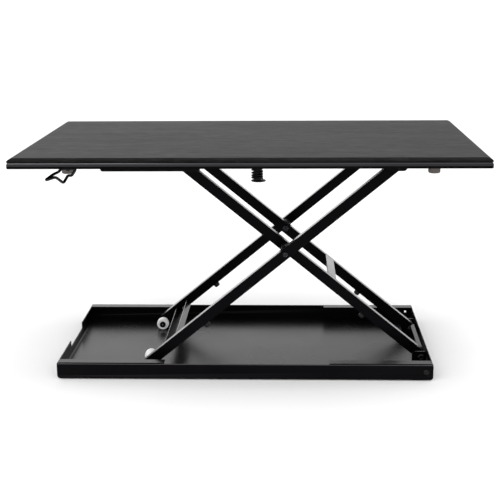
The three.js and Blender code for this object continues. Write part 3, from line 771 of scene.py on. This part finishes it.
def assist_spring():
    """Coil with closer turns at its ends, between its seat under the board and the foot."""
    wire, coil_radius = 1.9 * MM, 9.6 * MM
    coil_turns, end_closeness, points = 10.7, 0.25, 600
    low, high = box("assist_spring")
    rise = high.z - low.z - 2 * wire
    centre = Vector((SPRING.x, SPRING.y, low.z + wire))
    coil = []
    for i in range(points + 1):
        t = i / points
        eased = t - end_closeness * math.sin(2 * math.pi * t) / (2 * math.pi)
        a = 2 * math.pi * coil_turns * t
        coil.append(centre + Vector((
            coil_radius * math.cos(a), coil_radius * math.sin(a), rise * eased)))
    spring = add_piece("assist_spring", tube(coil, wire, 14), SPRING_BLACK)
    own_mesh(spring)


def spring_seat():
    turned("spring_seat", [
        (0, 0), (6.4, 0), (7.2, 0.8), (7.2, 3.7), (12.4, 3.7), (13, 4.3), (13, 6.7), (0, 6.7),
    ], foot_point("spring_seat"), Z, STEEL, 0.4)


def spring_foot():
    """A round foot with a guide stem that goes up inside the coil."""
    foot = foot_point("spring_foot")
    stem = Vector((SPRING.x, SPRING.y, foot.z))
    tall = height("spring_foot")
    bm = bmesh.new()
    lathe(bm, soften([
        (0, 0.6), (9.6, 0.6), (10.4, 0.0), (12.8, 0.0), (14.2, 0.9), (14.2, 1.9), (12.9, 2.8),
        (0, 2.8),
    ]), foot, Z, 72)
    lathe(bm, soften([
        (0, 1.8), (7.3, 1.8), (7.3, tall - 2.7), (5.5, tall), (0, tall),
    ], 0.6), stem, Z)
    add_piece("spring_foot", bm, PLASTIC)


def gas_spring():
    """Locking gas spring: barrel with two rolled beads, rod with piston and eye, head and pin."""
    low, high = box("gas_barrel")
    open_end, shut_end = low.x / MM, high.x / MM
    profile = [(0, shut_end - 6), (8, shut_end - 6)]
    profile += from_face(
        open_end, (8, 7), (4.35, 7), (4.35, 0), (8.4, 0), (9.7, 0.9), (9.7, 4.6), (9.1, 5.4),
        (9.1, 6.4), (10, 7.4))
    profile += from_face(
        shut_end, (10, -9.4), (9.2, -8.4), (9.2, -7.4), (10, -6.4), (10, -1.2), (8.8, 0), (0, 0))
    turned("gas_barrel", profile, GAS, X, STEEL)

    low, high = box("gas_rod")
    neck, piston_end = low.x / MM + 19.4, high.x / MM
    bm = bmesh.new()
    lathe(bm, soften([
        (0, neck), (4, neck), (4, piston_end - 7), (7.6, piston_end - 7), (7.6, piston_end),
        (0, piston_end),
    ], 0.4), GAS, X)
    lathe(bm, soften([
        (6.3, -4.2), (7.2, -5), (9.2, -5), (10, -4.2), (10, 4.2), (9.2, 5), (7.2, 5), (6.3, 4.2),
    ], 0.4), Vector((HIGH_ROLLER.x, GAS.y, HIGH_ROLLER.z)), Y, 56)
    add_piece("gas_rod", bm, CHROME)

    refined("release_head", PLASTIC, 0.9, 3)
    low, high = box("release_pin")
    tip, end = low.x / MM, high.x / MM
    turned("release_pin", [
        (0, tip), (3, tip), (3, end - 3), (5, end - 3), (5, end), (0, end),
    ], GAS, X, ZINC, 0.4)


def lever_handle():
    """Wire lever: both ends turn in the knuckle, and the wire between them is one hand loop."""
    end_gap, wire_radius, bend_radius = 0.5 * MM, 2.5 * MM, 4.5 * MM
    bends = (
        (-326, -195, 388.5), (-329.5, -199, 384), (-336, -216, 382.2), (-346, -232.5, 375.2),
        (-330.6, -222, 379), (-319.8, -210, 366.2), (-313.6, -200, 377.8), (-307.6, -197, 376.9),
        (-300, -195, 388.5),
    )
    wire = [LEVER_PIVOT - X * end_gap]
    wire += [Vector(bend) * MM for bend in bends]
    wire += [LEVER_PIVOT + X * end_gap]
    bm = tube(rounded_path(wire, bend_radius, 7), wire_radius, 16)
    add_piece("lever_handle", bm, LEVER_ZINC)


def lever_bracket():
    """A flange under the board, and a narrow knuckle that the wire turns in."""
    flange, overlap, above_wire = 2.6 * MM, 2 * MM, 2.8 * MM
    half_wide, half_deep = 3.2 * MM, 4.5 * MM
    low, high = box("lever_bracket")
    at = LEVER_PIVOT
    bm = bmesh.new()
    block(bm, low.x, high.x, low.y, high.y, high.z - flange, high.z)
    block(bm, at.x - half_wide, at.x + half_wide, at.y - half_deep, at.y + half_deep,
          at.z + above_wire, high.z - overlap)
    lathe(bm, soften([
        (2.7, -3.2), (4.1, -3.2), (4.1, 3.2), (2.7, 3.2),
    ], 0.4), at, X, 40)
    bevel(bm, [e for e in sharp_edges(bm) if e.calc_length() > 3 * MM], 0.5, 3)
    add_piece("lever_bracket", bm, PLASTIC)


def release_cable():
    """From the release head back, along the underside of the board, and forward to the lever."""
    radius, bend_radius = 2.0 * MM, 16 * MM
    head_rear = box("release_head")[1].y / MM
    route = (
        (85, head_rear + GAP, 395), (85, 62, 395), (-290, 62, 395), (-290, -176, 395),
        (-312, -184, 392), (-312, -190.2, 391.5),
    )
    path = rounded_path([Vector(point) * MM for point in route], bend_radius, 8)
    add_piece("release_cable", tube(path, radius, 14), BLACK_RUBBER)


# ---------------------------------------------------------------- floor, light and camera
def stage_floor():
    bm = bmesh.new()
    bmesh.ops.create_circle(bm, cap_ends=True, radius=60.0, segments=96)
    mesh = bpy.data.meshes.new("studio_floor")
    bm.to_mesh(mesh)
    bm.free()
    mesh.materials.append(studio_paint())
    floor = bpy.data.objects.new("studio_floor", mesh)
    bpy.context.scene.collection.objects.link(floor)


def area_light(name, place, aim, size, power):
    data = bpy.data.lights.new(name, "AREA")
    data.shape = "RECTANGLE"
    data.size, data.size_y = size
    data.energy = power
    light = bpy.data.objects.new(name, data)
    light.location = place
    light.rotation_euler = (Vector(aim) - Vector(place)).to_track_quat("-Z", "Y").to_euler()
    bpy.context.scene.collection.objects.link(light)


def front_camera():
    """From the front and a little above; yaw, pitch and roll are in radians."""
    place, lens = (0.06936, -2.06412, 0.70399), 79.2
    yaw, pitch, roll = 0.0371, 0.2410, -0.0078
    right = Vector((math.cos(yaw), math.sin(yaw), 0))
    forward = Vector((-math.sin(yaw) * math.cos(pitch), math.cos(yaw) * math.cos(pitch),
                      -math.sin(pitch)))
    up = right.cross(forward)
    rolled_right = right * math.cos(roll) + up * math.sin(roll)
    rolled_up = up * math.cos(roll) - right * math.sin(roll)
    data = bpy.data.cameras.new("camera")
    data.sensor_width, data.lens = 36.0, lens
    data.clip_start, data.clip_end = 0.05, 200.0
    camera = bpy.data.objects.new("camera", data)
    turn = Matrix((rolled_right, rolled_up, -forward)).transposed()
    camera.matrix_world = Matrix.Translation(place) @ turn.to_4x4()
    bpy.context.scene.collection.objects.link(camera)
    bpy.context.scene.camera = camera


def studio_world():
    """White studio: brighter low down behind the object and on its left, as a lit backdrop is."""
    world = bpy.data.worlds.new("studio")
    world.use_nodes = True
    tree = world.node_tree
    background = tree.nodes["Background"]
    background.inputs["Color"].default_value = (1.0, 1.0, 1.0, 1.0)
    split = tree.nodes.new("ShaderNodeSeparateXYZ")
    direction = tree.nodes.new("ShaderNodeTexCoord").outputs["Generated"]
    tree.links.new(direction, split.inputs["Vector"])

    def spread(axis, low, high, start, end):
        made = tree.nodes.new("ShaderNodeMapRange")
        made.interpolation_type = "SMOOTHSTEP"
        settings = {"From Min": low, "From Max": high, "To Min": start, "To Max": end}
        for name, value in settings.items():
            made.inputs[name].default_value = value
        tree.links.new(split.outputs[axis], made.inputs["Value"])
        return made.outputs["Result"]

    def join(operation, a, b):
        made = tree.nodes.new("ShaderNodeMath")
        made.operation = operation
        tree.links.new(a, made.inputs[0])
        tree.links.new(b, made.inputs[1])
        return made.outputs["Value"]

    behind = join("MULTIPLY", spread("Y", 0.2, 0.95, 0.0, 0.9), spread("Z", 0.02, 0.22, 1.0, 0.0))
    total = join("ADD", behind, spread("X", -0.30, 0.30, 1.46, 1.00))
    tree.links.new(total, background.inputs["Strength"])
    bpy.context.scene.world = world


# ---------------------------------------------------------------- the whole scene
board()
tray()
for name in SIDES:
    for end in ENDS:
        tray_foot(f"tray_foot_{name}_{end}")
for name, side in SIDES.items():
    refined(f"pivot_bracket_{name}", STEEL, 0.35)
    base_pivot_bolt(name, side)
bracket_rivet()

for name, side in SIDES.items():
    leg(f"outer_leg_{name}", (LOW_ROLLER, CENTRE, DESK_PIVOT))
    leg(f"inner_leg_{name}", (HIGH_ROLLER, CENTRE, LOW_PIVOT))
    leg_pad(f"outer_leg_pad_{name}", OUTER_UP)
    leg_pad(f"inner_leg_pad_{name}", INNER_UP)
    centre_bolt(name, side)
    centre_spacer(name, side)
    lower_axle(name, side)
    upper_axle(name, side)
    roller(f"lower_roller_{name}", side, LOW_ROLLER)
    roller(f"upper_roller_{name}", side, HIGH_ROLLER)
    desk_pivot_bolt(name, side)
    channel_screw(f"channel_screw_{name}")
refined("outer_lower_channel", DULL_STEEL, 0.5, 3)
cross_bar("outer_upper_bar", DESK_PIVOT, bore_end=104.5)
cross_bar("inner_upper_bar", HIGH_ROLLER, bore_end=53.5)
refined("inner_mid_bar", STEEL, 0.6, 3)
refined("inner_end_bar", STEEL, 0.6, 3)

for name in SIDES:
    refined(f"desk_rail_{name}", STEEL, 0.35)
    for end in ENDS:
        rail_screw(f"rail_screw_{name}_{end}")
    for end in ENDS:
        bumper(f"desk_bumper_{name}_{end}")
assist_spring()
spring_seat()
spring_foot()
gas_spring()
lever_handle()
lever_bracket()
release_cable()

stage_floor()
area_light("overhead_softbox", (0.9, 0.2, 2.9), (0, 0, 0.2), (2.4, 2.4), 24)
area_light("front_fill", (0, -1.9, 2.1), (0, 0, 0.2), (4.0, 1.6), 13.5)
area_light("front_bar", (-0.95, -1.86, 2.06), (-0.95, 0, 0.2), (1.0, 0.12), 4.5)
studio_world()
bpy.context.scene.view_settings.view_transform = "Standard"
front_camera()
